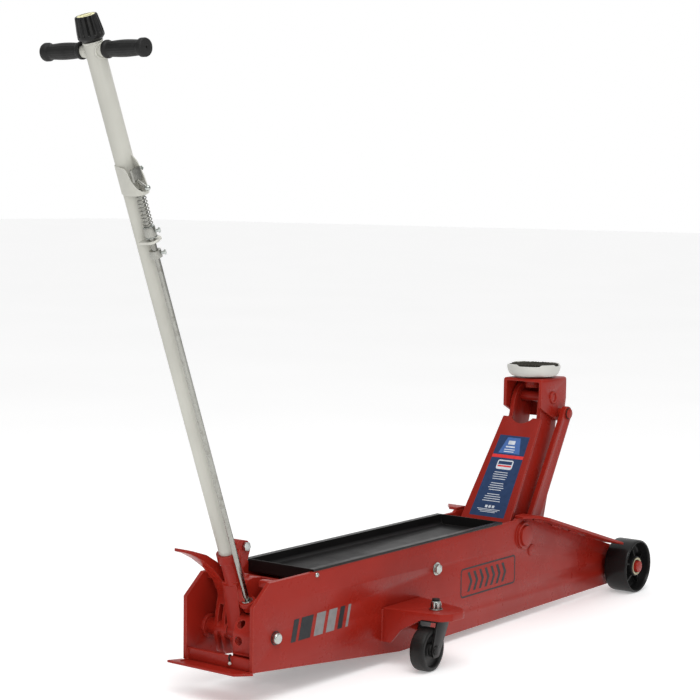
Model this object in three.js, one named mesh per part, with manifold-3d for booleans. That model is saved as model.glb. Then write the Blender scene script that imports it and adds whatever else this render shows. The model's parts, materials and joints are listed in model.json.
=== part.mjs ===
// Long-chassis trolley jack, in millimetres: +X towards the front wheels, +Y to the left, +Z up.
// The sizes below measure X from the rear edge of the side plates and Z from the ground. At the
// end the whole jack is moved along X, so that its origin is under the middle of its box.
import * as THREE from 'three';
import { mergeVertices } from 'three/addons/utils/BufferGeometryUtils.js';
import Module from 'manifold-3d';

const wasm = await Module();
wasm.setup();

// ---- driving dimensions ---------------------------------------------------------------------
const BOX_MIDDLE_X = 526.95;
const GAP = 0.3; // between pieces that touch

// chassis
const HALF_WIDTH = 86; // outer face of a side plate
const PLATE = 8; // side plate thickness
const INSIDE = HALF_WIDTH - PLATE; // inner face of a side plate
const TAIL_Z = 65; // underside of the raised tail
const BELLY_X = 466; // where the underside levels out
const BELLY_Z = 16;
const PLATE_TOP = 226;
const HUMP_TOP = 230;
const HUMP = [905, 945]; // raised part of the top edge over the arm pivot
const NOSE_SLOPE = 0.306; // fall of the front top edge per millimetre forward

// arm and its parallel links
const ARM_PIVOT = [936.4, 189.4];
const ARM_RAISE = THREE.MathUtils.degToRad(59.1);
const ARM_LENGTH = 341;
const LINK_OFFSET = [33.5, -38.5]; // from an arm pivot to the matching link pivot
const LINK_Y = [60.5, 72.5];
const SADDLE_X = -4; // saddle axis, from the head pin
const SPLAY = THREE.MathUtils.degToRad(2.3); // the arm widens towards its base
const COVER_BASE = 29.4; // underside of the arm's cover plate, square above the arm pivot
const COVER_FALL = Math.atan(0.0595);
const CRANK = [-33.1, -83.7]; // ram pin, in the arm's own frame
const SHAFT_RADIUS = 23;
const HUB_RADIUS = 28;

// front wheels and swivel castors
const AXLE = [1351, 63];
const AXLE_RADIUS = 13.7;
const WHEEL_RADIUS = 63;
const WHEEL_Y = [96, 156];
const KINGPIN = [459, 178];
const BRACKET_TOP = 118;
const CASTOR_RADIUS = 44;
const CASTOR_TRAIL = 33;
const CASTOR_TURN = THREE.MathUtils.degToRad(4);

// handle
const HANDLE_PIVOT = [65, 119];
const HANDLE_LEAN = THREE.MathUtils.degToRad(21.04);
const TUBE_X = 21.5; // tube axis ahead of the pivot, in the handle's own frame
const TUBE_RADIUS = 17;
const TEE_Z = 1129;
const KNOB_Z = [1147, 1191];
const ROD_X = 7; // lock rod, in the handle's own frame
const ROD_Y = -32;
const ROD_RADIUS = 5;
const LOCK_RADIUS = [39, 43]; // inner and outer radius of the lock sector
const LOCK_STEP = THREE.MathUtils.degToRad(43);
const LOCK_END = THREE.MathUtils.degToRad(14.6); // how far the lock sector runs past its first hole
const CLAMP = [54.5, 156]; // clamp bolt of the socket, in the handle's own frame
const TRIGGER = [-33, 920]; // pin of the trigger in Y and Z, in the handle's own frame
const PEDAL_Y = [25.6, 51.6]; // the pedal's blade, clear of the leaning socket

// hydraulics
const RAM_Z = 109;
const RAM_RADIUS = 16;
const CYLINDER_X = [361, 800];
const PLUNGER_Z = 89;
const FRAME_BOLT = [594, 167]; // through the side plates into the cylinder's bulkhead

// tray
const TRAY_X = [178, 847];
const TRAY_TOP = 231;
const TRAY_DEPTH = 24;
const SHEET = 2;

// ---- materials ------------------------------------------------------------------------------
function finish(color, roughness, metalness) {
  return new THREE.MeshStandardMaterial({ color, roughness, metalness });
}

const redPaint = () => finish(0x94302b, 0.3, 0.1);
const blackPaint = () => finish(0x1c1b1b, 0.45, 0.1);
const creamPaint = () => finish(0xc8c8c0, 0.4, 0.1);
const greyPaint = () => finish(0xcdcdc8, 0.45, 0.1);
const rubber = () => finish(0x2d2b23, 0.9, 0);
const plastic = () => finish(0x232323, 0.55, 0);
const steel = () => finish(0x96968c, 0.3, 0.9);
const zinc = () => finish(0xbec3be, 0.35, 0.9);

// ---- solids ---------------------------------------------------------------------------------
// Merges shared corners, drops empty triangles and turns the faces outwards.
function closed(geometry) {
  geometry.deleteAttribute('normal');
  geometry.deleteAttribute('uv');
  const merged = mergeVertices(geometry, 1e-4);
  const place = merged.getAttribute('position');
  const corners = [];
  let volume = 0;
  for (let i = 0; i < merged.index.count; i += 3) {
    const [a, b, c] = [0, 1, 2].map((step) => merged.index.getX(i + step));
    if (a === b || b === c || a === c) continue;
    corners.push(a, b, c);
    const [p, q, r] = [a, b, c].map((k) => new THREE.Vector3().fromBufferAttribute(place, k));
    volume += p.dot(q.cross(r));
  }
  merged.setIndex(volume < 0 ? corners.reverse() : corners);
  return merged;
}

function toSolid(geometry) {
  const merged = closed(geometry);
  const vertProperties = Float32Array.from(merged.getAttribute('position').array);
  const triVerts = Uint32Array.from(merged.index.array);
  return new wasm.Manifold(new wasm.Mesh({ numProp: 3, vertProperties, triVerts }));
}

function toGeometry(solid) {
  const mesh = solid.getMesh();
  const geometry = new THREE.BufferGeometry();
  geometry.setAttribute('position', new THREE.BufferAttribute(Float32Array.from(mesh.vertProperties), 3));
  geometry.setIndex(Array.from(mesh.triVerts));
  return geometry;
}

const combine = (method) => (base, ...others) => {
  const joined = others.reduce((solid, other) => solid[method](toSolid(other)), toSolid(base));
  return toGeometry(joined);
};
const cut = combine('subtract');
const join = combine('add');
const overlap = combine('intersect');

// Outline through corners [u, v, rounding].
function outline(corners) {
  const shape = new THREE.Shape();
  corners.forEach(([u, v, rounding = 0], index) => {
    const corner = new THREE.Vector2(u, v);
    const before = corners[(index + corners.length - 1) % corners.length];
    const after = corners[(index + 1) % corners.length];
    const back = new THREE.Vector2(before[0] - u, before[1] - v).normalize();
    const ahead = new THREE.Vector2(after[0] - u, after[1] - v).normalize();
    const reach = rounding / Math.tan(Math.acos(back.dot(ahead)) / 2);
    const start = corner.clone().addScaledVector(back, reach);
    const end = corner.clone().addScaledVector(ahead, reach);
    if (index === 0) shape.moveTo(start.x, start.y);
    else shape.lineTo(start.x, start.y);
    if (rounding > 0) shape.quadraticCurveTo(u, v, end.x, end.y);
  });
  shape.closePath();
  return shape;
}

function round(u, v, radius, corners = 24) {
  return new THREE.Shape(Array.from({ length: corners }, (unused, index) => {
    const angle = (index * 2 * Math.PI) / corners;
    return new THREE.Vector2(u + radius * Math.cos(angle), v + radius * Math.sin(angle));
  }));
}

function pierced(shape, ...holes) {
  shape.holes.push(...holes);
  return shape;
}

// Outline in X and Z, given a thickness along Y.
function upright(shape, yLow, yHigh, curveSegments = 5) {
  const depth = yHigh - yLow;
  const geometry = new THREE.ExtrudeGeometry(shape, { depth, bevelEnabled: false, curveSegments });
  geometry.rotateX(Math.PI / 2);
  geometry.translate(0, yHigh, 0);
  return geometry;
}

// Outline in X and Y, given a thickness along Z.
function level(shape, zLow, zHigh, curveSegments = 5) {
  const depth = zHigh - zLow;
  const geometry = new THREE.ExtrudeGeometry(shape, { depth, bevelEnabled: false, curveSegments });
  geometry.translate(0, 0, zLow);
  return geometry;
}

// Outline in Y and Z, given a thickness along X.
function across(shape, xLow, xHigh, curveSegments = 5) {
  const depth = xHigh - xLow;
  const geometry = new THREE.ExtrudeGeometry(shape, { depth, bevelEnabled: false, curveSegments });
  geometry.rotateX(Math.PI / 2);
  geometry.rotateZ(Math.PI / 2);
  geometry.translate(xLow, 0, 0);
  return geometry;
}

// The two distances from the middle plane, in rising order, on the chosen side.
function onSide(side, near, far) {
  return side < 0 ? [-far, -near] : [near, far];
}

const wordFor = (side) => (side < 0 ? 'right' : 'left');

function block(xLow, xHigh, yLow, yHigh, zLow, zHigh) {
  const geometry = new THREE.BoxGeometry(xHigh - xLow, yHigh - yLow, zHigh - zLow);
  geometry.translate((xLow + xHigh) / 2, (yLow + yHigh) / 2, (zLow + zHigh) / 2);
  return geometry;
}

// Round bars along each axis; the centre line is given by the other two coordinates.
function barY(x, z, radius, yLow, yHigh, segments = 20) {
  const geometry = new THREE.CylinderGeometry(radius, radius, yHigh - yLow, segments);
  geometry.translate(x, (yLow + yHigh) / 2, z);
  return geometry;
}

function barX(y, z, radius, xLow, xHigh, segments = 20) {
  const geometry = new THREE.CylinderGeometry(radius, radius, xHigh - xLow, segments);
  geometry.rotateZ(Math.PI / 2);
  geometry.translate((xLow + xHigh) / 2, y, z);
  return geometry;
}

function barZ(x, y, radius, zLow, zHigh, segments = 20) {
  const geometry = new THREE.CylinderGeometry(radius, radius, zHigh - zLow, segments);
  geometry.rotateX(Math.PI / 2);
  geometry.translate(x, y, (zLow + zHigh) / 2);
  return geometry;
}

// Profile [radius, height] turned about the Y axis.
function turned(profile, segments = 28) {
  const points = profile.map(([radius, height]) => new THREE.Vector2(radius, height));
  return closed(new THREE.LatheGeometry(points, segments));
}

// The same profile turned about the Z axis, at a place in X and Y.
function turnedUp(profile, x, y, segments = 32) {
  const geometry = turned(profile, segments);
  geometry.rotateX(Math.PI / 2);
  geometry.translate(x, y, 0);
  return geometry;
}

function ring(inner, outer, low, high) {
  return [[inner, low], [outer, low], [outer, high], [inner, high], [inner, low]];
}

function mirrored(geometry) {
  const copy = geometry.clone();
  copy.scale(1, -1, 1);
  return closed(copy);
}

function add(group, name, geometry, material) {
  const mesh = new THREE.Mesh(closed(geometry), material);
  mesh.name = name;
  group.add(mesh);
  return mesh;
}

function frameAt(parent, x, y, z, turnY = 0) {
  const group = new THREE.Group();
  group.position.set(x, y, z);
  group.rotation.y = turnY;
  parent.add(group);
  return group;
}

// ---- chassis --------------------------------------------------------------------------------
const noseTop = (x) => HUMP_TOP - NOSE_SLOPE * (x - HUMP[1]);

// The left side plate with its welded pivot collar and link pin.
function sidePlate() {
  const [axleX, axleZ] = AXLE;
  const noseX = 1344;
  const profile = outline([
    [0, TAIL_Z], [BELLY_X, BELLY_Z], [axleX + 10, BELLY_Z, 20], [axleX + 46, axleZ, 34],
    [noseX, noseTop(noseX), 12], [HUMP[1], HUMP_TOP], [HUMP[0] + 6, HUMP_TOP, 4],
    [HUMP[0], PLATE_TOP], [48, PLATE_TOP], [0, 186],
  ]);
  pierced(
    profile,
    round(axleX, axleZ, AXLE_RADIUS + GAP),
    round(...ARM_PIVOT, SHAFT_RADIUS + GAP),
    round(...HANDLE_PIVOT, 12.3),
    round(...FRAME_BOLT, 6.3),
  );
  const plate = upright(profile, INSIDE, HALF_WIDTH);
  const collarRing = pierced(round(...ARM_PIVOT, 30), round(...ARM_PIVOT, SHAFT_RADIUS + GAP));
  const collar = upright(collarRing, HALF_WIDTH - 1, 93, 16);
  const [pinX, pinZ] = [ARM_PIVOT[0] + LINK_OFFSET[0], ARM_PIVOT[1] + LINK_OFFSET[1]];
  const linkPin = barY(pinX, pinZ, 11, 59, HALF_WIDTH + 3);
  return join(plate, collar, linkPin);
}

// Strip welded on the front top edge: level over the pivot, then down along the nose.
function frontFlange() {
  const thickness = 6;
  const under = HUMP_TOP + GAP;
  const tipX = 1306;
  const fall = NOSE_SLOPE * (tipX - HUMP[1]);
  const side = outline([
    [912, under], [HUMP[1], under], [tipX, under - fall],
    [tipX, under - fall + thickness], [HUMP[1], under + thickness], [912, under + thickness],
  ]);
  const strip = upright(side, INSIDE, 138);
  const rearCorner = level(outline([[900, 90], [970, 142], [900, 142]]), 200, 260);
  return cut(strip, rearCorner);
}

// Bent sheet between the side plates behind the tray, notched for the handle.
function rearDeck() {
  const thickness = 4;
  const side = outline([
    [58, 212], [58, 225, 4], [72, 225, 3], [174, 202], [174, 202 - thickness],
    [71, 225 - thickness], [58 + thickness, 225 - thickness], [58 + thickness, 212],
  ]);
  const sheet = upright(side, -INSIDE + GAP, INSIDE - GAP);
  return cut(sheet, block(50, 134, -50, PEDAL_Y[1] + 4, 190, 240));
}

// Flat lip welded under the tail, wider on the left than on the right.
function rearLip() {
  const within = INSIDE - GAP;
  return level(outline([
    [-GAP, -88], [-GAP, -within], [30, -within], [30, within], [-GAP, within], [-GAP, 90],
    [-27, 104, 2], [-27, -63, 3],
  ]), TAIL_Z - 4.8, TAIL_Z - GAP);
}

function rearCrossPlate() {
  return block(4, 12, -INSIDE + GAP, INSIDE - GAP, TAIL_Z, 87);
}

// Curved plate welded to the right side plate, with a hole for each handle position. Past the
// level of the pivot it runs straight down behind the cross plate.
function lockSector() {
  const [pivotX, pivotZ] = HANDLE_PIVOT;
  const [inner, outer] = LOCK_RADIUS;
  const firstHole = Math.PI / 2 + HANDLE_LEAN - Math.atan2(ROD_X, outer);
  const foot = 70;
  const arc = new THREE.Shape();
  arc.absarc(pivotX, pivotZ, outer, firstHole - LOCK_END, Math.PI, false);
  arc.lineTo(pivotX - outer, foot);
  arc.lineTo(pivotX - inner, foot);
  arc.absarc(pivotX, pivotZ, inner, Math.PI, firstHole - LOCK_END, true);
  arc.closePath();
  const sector = upright(arc, -INSIDE + GAP, -18.5, 14);
  const holes = [0, 1, 2].map((step) => {
    const hole = barZ(0, 0, 9, inner - 8, outer + 8);
    hole.rotateY(Math.PI / 2 - firstHole - step * LOCK_STEP);
    hole.translate(pivotX, ROD_Y, pivotZ);
    return hole;
  });
  return cut(sector, ...holes);
}

// Pressed tray: a basin between the plates with a folded rim over their top edges.
function toolTray() {
  const [rear, front] = TRAY_X;
  const half = INSIDE - 1.5;
  const low = TRAY_TOP - TRAY_DEPTH;
  const outer = block(rear, front, -half, half, low, TRAY_TOP);
  const basin = outline([
    [-half + SHEET, TRAY_TOP + 1], [-half + SHEET, low + SHEET, 9], [half - SHEET, low + SHEET, 9],
    [half - SHEET, TRAY_TOP + 1],
  ]);
  const hollow = across(basin, rear + SHEET, front - SHEET);
  const rims = [-1, 1].map((side) => {
    const edges = onSide(side, half - SHEET, HALF_WIDTH + 1);
    return block(rear, front, ...edges, PLATE_TOP + GAP, TRAY_TOP);
  });
  const flangeSpaces = [-1, 1].map((side) => {
    const edges = onSide(side, half + 1, HALF_WIDTH - 0.5);
    return block(rear - 1, front + 1, ...edges, PLATE_TOP - 1, TRAY_TOP - SHEET);
  });
  return cut(join(outer, ...rims), hollow, ...flangeSpaces);
}

// Left castor bracket: a folded box that tapers from the side plate to a rounded end.
function castorBracket() {
  const wall = 6;
  const [rear, front] = [403, 535];
  const rim = [
    [rear, HALF_WIDTH + GAP], [424, 214, 14], [446, 228, 10], [486, 230, 16], [505, 208, 14],
    [front, HALF_WIDTH + GAP],
  ];
  const inner = [
    [rear + wall, HALF_WIDTH - 5], [424 + wall, 212, 10], [448, 222, 8], [484, 224, 10],
    [505 - wall, 206, 8], [front - wall, HALF_WIDTH - 5],
  ];
  const box = level(outline(rim), 48, BRACKET_TOP);
  const hollow = level(outline(inner), 40, BRACKET_TOP - wall);
  const rising = outline([[80, 47], [104, 47], [127, 76.5], [172, 103], [240, 103], [240, 30], [80, 30]]);
  const wedge = across(rising, 370, 570);
  return cut(box, hollow, wedge, barZ(...KINGPIN, 8.5, 90, 130));
}

function addChassis(jack) {
  const plate = sidePlate();
  add(jack, 'side_plate_left', plate, redPaint());
  add(jack, 'side_plate_right', mirrored(plate), redPaint());
  const flange = frontFlange();
  add(jack, 'front_flange_left', flange, redPaint());
  add(jack, 'front_flange_right', mirrored(flange), redPaint());
  const bracket = castorBracket();
  add(jack, 'castor_bracket_left', bracket, redPaint());
  add(jack, 'castor_bracket_right', mirrored(bracket), redPaint());
  add(jack, 'rear_deck', rearDeck(), redPaint());
  add(jack, 'rear_lip', rearLip(), redPaint());
  add(jack, 'rear_cross_plate', rearCrossPlate(), redPaint());
  add(jack, 'lock_sector', lockSector(), redPaint());
  add(jack, 'tool_tray', toolTray(), blackPaint());

  add(jack, 'front_axle', barY(...AXLE, AXLE_RADIUS, -158, 158), redPaint());
  add(jack, 'arm_pivot_shaft', barY(...ARM_PIVOT, SHAFT_RADIUS, -98, 98, 28), redPaint());

  const handleShaft = barY(...HANDLE_PIVOT, 12, -HALF_WIDTH - 1, HALF_WIDTH + 1);
  const shaftFlange = barY(...HANDLE_PIVOT, 23, INSIDE - 6, INSIDE - GAP);
  add(jack, 'handle_pivot_shaft', join(handleShaft, shaftFlange), redPaint());
  [-1, 1].forEach((side) => {
    const bolt = turned([[0, 0], [11, 0], [11, 5], [9, 8], [0, 8]], 24);
    if (side < 0) bolt.rotateX(Math.PI);
    bolt.translate(HANDLE_PIVOT[0], side * (HALF_WIDTH + 1 + GAP), HANDLE_PIVOT[1]);
    add(jack, `pivot_bolt_${wordFor(side)}`, bolt, zinc());
  });
}

// ---- hydraulics -----------------------------------------------------------------------------
function addHydraulics(jack) {
  const [rear, front] = CYLINDER_X;
  const body = join(
    block(140, rear - GAP, -52, 52, 68, 150),
    block(190, 300, -70, 70, 84, 134),
  );
  add(jack, 'pump_body', cut(body, barX(0, PLUNGER_Z, 9.6, 130, 230)), blackPaint());

  const shell = barX(0, RAM_Z, 40, rear, front, 32);
  const nose = barX(0, RAM_Z, 34, front - 1, front + 22, 32);
  const bore = barX(0, RAM_Z, RAM_RADIUS + 0.8, 430, front + 30, 24);
  add(jack, 'hydraulic_cylinder', cut(join(shell, nose), bore), redPaint());

  const bulkhead = block(584, 604, -INSIDE + GAP, INSIDE - GAP, 62, 186);
  const boltHoles = [-1, 1].map((side) => barY(...FRAME_BOLT, 6.3, ...onSide(side, 60, 90)));
  const opening = barX(0, RAM_Z, 40 + GAP, 570, 620, 32);
  add(jack, 'cylinder_bulkhead', cut(bulkhead, opening, ...boltHoles), redPaint());
  [-1, 1].forEach((side) => {
    const bolt = join(barY(0, 0, 6, -24, 2), barY(0, 0, 11, GAP, 8, 6));
    if (side < 0) bolt.rotateX(Math.PI);
    bolt.translate(FRAME_BOLT[0], side * HALF_WIDTH, FRAME_BOLT[1]);
    add(jack, `frame_bolt_${wordFor(side)}`, bolt, zinc());
  });

  const yokeX = ARM_PIVOT[0] + 54.8;
  const yoke = block(yokeX - 36, yokeX + 32, -28, 28, RAM_Z - 36, RAM_Z + 46);
  const slot = upright(outline([
    [yokeX - 17, RAM_Z - 27, 14], [yokeX + 17, RAM_Z - 27, 14],
    [yokeX + 17, RAM_Z + 34, 14], [yokeX - 17, RAM_Z + 34, 14],
  ]), -40, 40);
  const rodSocket = barX(0, RAM_Z, 10 + GAP, yokeX - 40, yokeX - 25);
  add(jack, 'ram_yoke', cut(yoke, slot, rodSocket), redPaint());
  const rod = join(
    barX(0, RAM_Z, RAM_RADIUS, 560, yokeX - 36 - GAP),
    barX(0, RAM_Z, 10, yokeX - 38, yokeX - 26),
  );
  add(jack, 'ram_rod', rod, steel());
  add(jack, 'pump_plunger', barX(0, PLUNGER_Z, 9, 96, 200), steel());
}

// ---- arm, saddle and links ------------------------------------------------------------------
// Left arm plate in the arm's frame, before it is splayed.
function armPlate() {
  const profile = outline([
    [-46, 20, 14], [-24, 36, 8], [-4, 36, 4], [4, 28.6], [282, 12, 6], [318, 26, 8], [341, 28, 8],
    [369, 20, 14], [369, -22, 16], [338, -47, 8], [150, -105, 8], [92, -116, 10], [30, -117, 20],
    [-50, -112, 22], [-60, -70, 18], [-46, -30, 10],
  ]);
  pierced(profile, round(0, 0, HUB_RADIUS + GAP), round(ARM_LENGTH, 0, 13.4), round(...CRANK, 15));
  const plate = upright(profile, -5, 5);
  plate.rotateZ(-SPLAY);
  plate.translate(0, 48.5, 0);
  return plate;
}

// Cover plate over the rear of the arm, narrower at the head and hollowed round the saddle.
function armCover() {
  const half = (along) => 66.2 - 0.0555 * along;
  const [low, high] = [7, 276];
  const corners = [[low, -half(low), 4], [high, -half(high), 3], [high, half(high), 3], [low, half(low), 4]];
  const sheet = level(outline(corners), 0, 8);
  const hollow = barZ(293, 0, 33, -2, 10, 32);
  const cover = cut(sheet, hollow);
  cover.rotateY(COVER_FALL);
  cover.translate(0, 0, COVER_BASE);
  return cover;
}

// Plate that closes the front of the arm below the head.
function armTie() {
  const side = outline([[150, -93], [268, -57], [268, -51], [150, -87]]);
  const half = (along) => 43.2 - along * Math.tan(SPLAY);
  const plan = outline([[140, -half(140)], [280, -half(280)], [280, half(280)], [140, half(140)]]);
  return overlap(upright(side, -50, 50), level(plan, -120, 0));
}

// Bracket that carries the saddle: a box with a roof, two cheeks and a front wall.
function saddleBracket() {
  const half = 51;
  const wall = 7;
  const roof = 45;
  const frontWall = 46;
  const side = outline([
    [-52, -21, 3], [14, -53, 5], [33, -58, 14], [49, -50, 14], [53, -36, 6], [59, -4],
    [59, roof, 4], [-52, roof, 4],
  ]);
  const shell = upright(side, -half, half);
  const blank = outline([[-half, -80], [-half, roof, 8], [half, roof, 8], [half, -80]]);
  const folded = across(blank, -80, 80, 6);
  const within = half - wall;
  const ceiling = roof - wall;
  const inside = outline([[-within, -81], [-within, ceiling, 4], [within, ceiling, 4], [within, -81]]);
  const channel = across(inside, -80, frontWall, 4);
  const holes = [
    barY(0, 0, 12 + GAP, -60, 60),
    barY(...LINK_OFFSET, 11 + GAP, -60, 60),
    barZ(SADDLE_X, 0, 20 + GAP, 20, 60),
  ];
  return cut(overlap(shell, folded), channel, ...holes);
}

function saddle() {
  const base = 47.5;
  const profile = [
    [0, base], [44, base], [55, base + 5], [61, base + 14], [62, base + 24], [57, base + 24],
    [55.5, base + 16], [52, base + 13], [0, base + 13],
  ];
  const cup = turnedUp(profile, SADDLE_X, 0, 36);
  const merlons = [0, 1, 2, 3].map((quarter) => {
    const arc = new THREE.Shape();
    arc.absarc(0, 0, 62, -0.42, 0.42, false);
    arc.absarc(0, 0, 57, 0.42, -0.42, true);
    arc.closePath();
    const tooth = level(arc, base + 23, base + 29, 5);
    tooth.rotateZ((quarter + 0.5) * (Math.PI / 2) + 0.35);
    tooth.translate(SADDLE_X, 0, 0);
    return tooth;
  });
  return join(cup, ...merlons);
}

// Flat link with a wide lower eye and a narrower upper one.
function linkBar() {
  const [lower, upper] = [21, 16.5];
  const bar = new THREE.Shape();
  bar.absarc(0, 0, lower, Math.PI / 2, 1.5 * Math.PI, false);
  bar.absarc(ARM_LENGTH, 0, upper, -Math.PI / 2, Math.PI / 2, false);
  bar.closePath();
  return pierced(bar, round(0, 0, 11.4), round(ARM_LENGTH, 0, 11.4));
}

function addArm(jack) {
  const arm = frameAt(jack, ARM_PIVOT[0], 0, ARM_PIVOT[1], -ARM_RAISE);
  const plate = armPlate();
  add(arm, 'arm_plate_left', plate, redPaint());
  add(arm, 'arm_plate_right', mirrored(plate), redPaint());
  add(arm, 'arm_cover', armCover(), redPaint());
  add(arm, 'arm_tie', armTie(), redPaint());
  const hubRing = pierced(round(0, 0, HUB_RADIUS), round(0, 0, SHAFT_RADIUS + 0.5));
  add(arm, 'arm_hub_tube', upright(hubRing, -46, 46, 16), redPaint());
  add(arm, 'crank_pin', barY(...CRANK, 14, -52, 52), steel());

  const headX = ARM_PIVOT[0] + ARM_LENGTH * Math.cos(ARM_RAISE);
  const headZ = ARM_PIVOT[1] + ARM_LENGTH * Math.sin(ARM_RAISE);
  const head = frameAt(jack, headX, 0, headZ);
  add(head, 'saddle_bracket', saddleBracket(), redPaint());
  add(head, 'head_pin', barY(0, 0, 12, -52.5, 52.5), redPaint());
  [-1, 1].forEach((side) => {
    const pin = barY(...LINK_OFFSET, 11, ...onSide(side, 44.3, 77.5));
    add(head, `link_pin_${wordFor(side)}`, pin, redPaint());
  });
  add(head, 'saddle_stem', join(
    barZ(SADDLE_X, 0, 20, 27, 47),
    barZ(SADDLE_X, 0, 14, 46.5, 47.5),
  ), redPaint());
  add(head, 'saddle', saddle(), greyPaint());
  add(head, 'saddle_pad', barZ(SADDLE_X, 0, 51, 60.8, 69, 40), rubber());

  [-1, 1].forEach((side) => {
    const [linkX, linkZ] = [ARM_PIVOT[0] + LINK_OFFSET[0], ARM_PIVOT[1] + LINK_OFFSET[1]];
    const link = frameAt(jack, linkX, 0, linkZ, -ARM_RAISE);
    add(link, `link_${wordFor(side)}`, upright(linkBar(), ...onSide(side, ...LINK_Y)), redPaint());
  });
}

// ---- handle ---------------------------------------------------------------------------------
// Casting that holds the tube: socket, clamp ear, lock rod boss, hub and pump lobe.
function handleSocket() {
  const socket = join(
    barZ(TUBE_X, 0, 19.6, 96, 146),
    barZ(TUBE_X, 0, 23, 144, 161),
  );
  const ear = upright(outline([
    [TUBE_X, 118], [48, 124, 6], [66, 144, 8], [66, 162, 8], [46, 175, 6], [36, 173, 4], [TUBE_X, 158],
  ]), -15, 10);
  const trunk = upright(outline([
    [-17, -6, 8], [4, 96, 4], [2, 104, 3], [44, 104, 4], [46, 84, 6], [30, 40, 8], [17, 0, 8],
    [8, -16, 6], [-14, -14, 8],
  ]), -17, 17);
  const hub = barY(0, 0, 19, -17, 17);
  const lobe = upright(outline([[-22, -4, 4], [-26, -36, 10], [4, -44, 10], [18, -2, 4]]), -10, 10);
  const shoulder = upright(outline([
    [-2, 60, 6], [36, 50, 6], [56, 68, 6], [58, 90, 6], [40, 100, 6], [22, 104, 6], [4, 92, 6],
  ]), -32, -14);
  const boss = turnedUp([[0, 48.5], [10.5, 48.5], [12, 56], [16, 60], [16, 68], [0, 68]], ROD_X, ROD_Y, 20);
  const whole = join(socket, ear, trunk, hub, lobe, shoulder, boss);
  const slit = block(TUBE_X + 12, 80, -2.5, 0.5, 112, 190);
  return cut(
    whole,
    slit,
    barZ(TUBE_X, 0, TUBE_RADIUS + GAP, 103, 190),
    barY(0, 0, 12.3, -40, 40, 20),
    barZ(ROD_X, ROD_Y, ROD_RADIUS + 1.2, 40, 130, 14),
    barY(...CLAMP, 5 + GAP, -30, 30, 12),
  );
}

function handleTube() {
  const [low, high] = [104, 1146];
  const tube = turnedUp(ring(14, TUBE_RADIUS, low, high), TUBE_X, 0, 32);
  const tee = barY(TUBE_X, TEE_Z, 11, -114, 114);
  const bore = barZ(TUBE_X, 0, 14, low - 1, high + 1, 32);
  return join(tube, cut(tee, bore));
}

function grip(side) {
  const profile = [
    [11 + GAP, 24], [15.5, 24], [16.5, 26], [16.5, 31], [14.2, 36], [15, 66], [14.2, 106], [16.5, 111],
    [16.5, 118], [15, 120.5], [0, 120.5], [0, 116], [11 + GAP, 116], [11 + GAP, 24],
  ];
  const sleeve = turned(profile, 20);
  if (side < 0) sleeve.rotateX(Math.PI);
  sleeve.translate(TUBE_X, 0, TEE_Z);
  return sleeve;
}

// Fluted knob that opens the release valve.
function releaseKnob() {
  const [low, high] = KNOB_Z;
  const body = turnedUp([
    [0, low], [17.5, low], [22.5, low + 10], [23.2, low + 17], [19.6, high - 2], [17.5, high], [0, high],
  ], TUBE_X, 0, 32);
  const flutes = Array.from({ length: 16 }, (unused, index) => {
    const flute = barZ(24.6, 0, 2.6, low + 9, high + 2, 6);
    flute.rotateZ((index * Math.PI) / 8);
    flute.translate(TUBE_X, 0, 0);
    return flute;
  });
  return cut(body, ...flutes, barZ(TUBE_X, 0, 5 + GAP, low - 1, low + 12, 16));
}

// Folded housing on the tube's right face, with two cheeks that hold the trigger.
function triggerHousing() {
  const [low, high] = [877, 932];
  const sleeve = turnedUp(ring(TUBE_RADIUS + GAP, TUBE_RADIUS + 2.8, low, high), TUBE_X, 0, 32);
  const rightHalf = cut(sleeve, block(-60, 80, -6, 60, low - 5, high + 5));
  const cheeks = [[-6, high], [22, high + 12]].map(([x, top]) => across(outline([
    [-12, low + 2], [-40, low + 4], [-44, low + 12], [-42, top - 14], [-34, top], [-14, top],
  ]), x, x + 2.5));
  const floor = block(-6, 24.5, -40, -14, low + 2, low + 5);
  const folded = join(cheeks[0], cheeks[1], floor);
  const tubeSpace = barZ(TUBE_X, 0, TUBE_RADIUS + GAP, low - 5, high + 30, 32);
  const rodHole = barZ(ROD_X, ROD_Y, ROD_RADIUS + 1, low - 17, low + 23, 20);
  const trimmed = cut(folded, tubeSpace, rodHole);
  return cut(join(rightHalf, trimmed), barX(...TRIGGER, 2 + GAP, -10, 30, 12));
}

// Tab on the tube that guides the lock rod.
function rodGuide() {
  const [low, high] = [790, 794.5];
  const tab = level(outline([[-8, -10], [-6, -38, 8], [8, -44, 10], [26, -38, 10], [34, -10]]), low, high);
  const tubeSpace = barZ(TUBE_X, 0, TUBE_RADIUS + GAP, low - 5, high + 5, 32);
  return cut(tab, tubeSpace, barZ(ROD_X, ROD_Y, ROD_RADIUS + 0.8, low - 5, high + 5, 20));
}

function rodCollar(low, high) {
  const band = turnedUp(ring(ROD_RADIUS + GAP, 10.5, low, high), ROD_X, ROD_Y, 18);
  const middle = (low + high) / 2;
  const screw = barX(0, 0, 2.6, ROD_RADIUS + 1, 17, 12);
  screw.rotateZ(-1.0);
  screw.translate(ROD_X, ROD_Y, middle);
  return join(band, screw);
}

class Coil extends THREE.Curve {
  constructor(radius, low, high, turns) {
    super();
    Object.assign(this, { radius, low, high, turns });
  }

  getPoint(t, target = new THREE.Vector3()) {
    const angle = t * this.turns * 2 * Math.PI;
    return target.set(
      ROD_X + this.radius * Math.cos(angle),
      ROD_Y + this.radius * Math.sin(angle),
      this.low + t * (this.high - this.low),
    );
  }
}

function lockSpring() {
  const turns = 9;
  const wire = round(0, 0, 1.1, 6);
  const path = new Coil(ROD_RADIUS + 2, 821, 876, turns);
  return new THREE.ExtrudeGeometry(wire, { steps: turns * 8, bevelEnabled: false, extrudePath: path });
}

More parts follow.
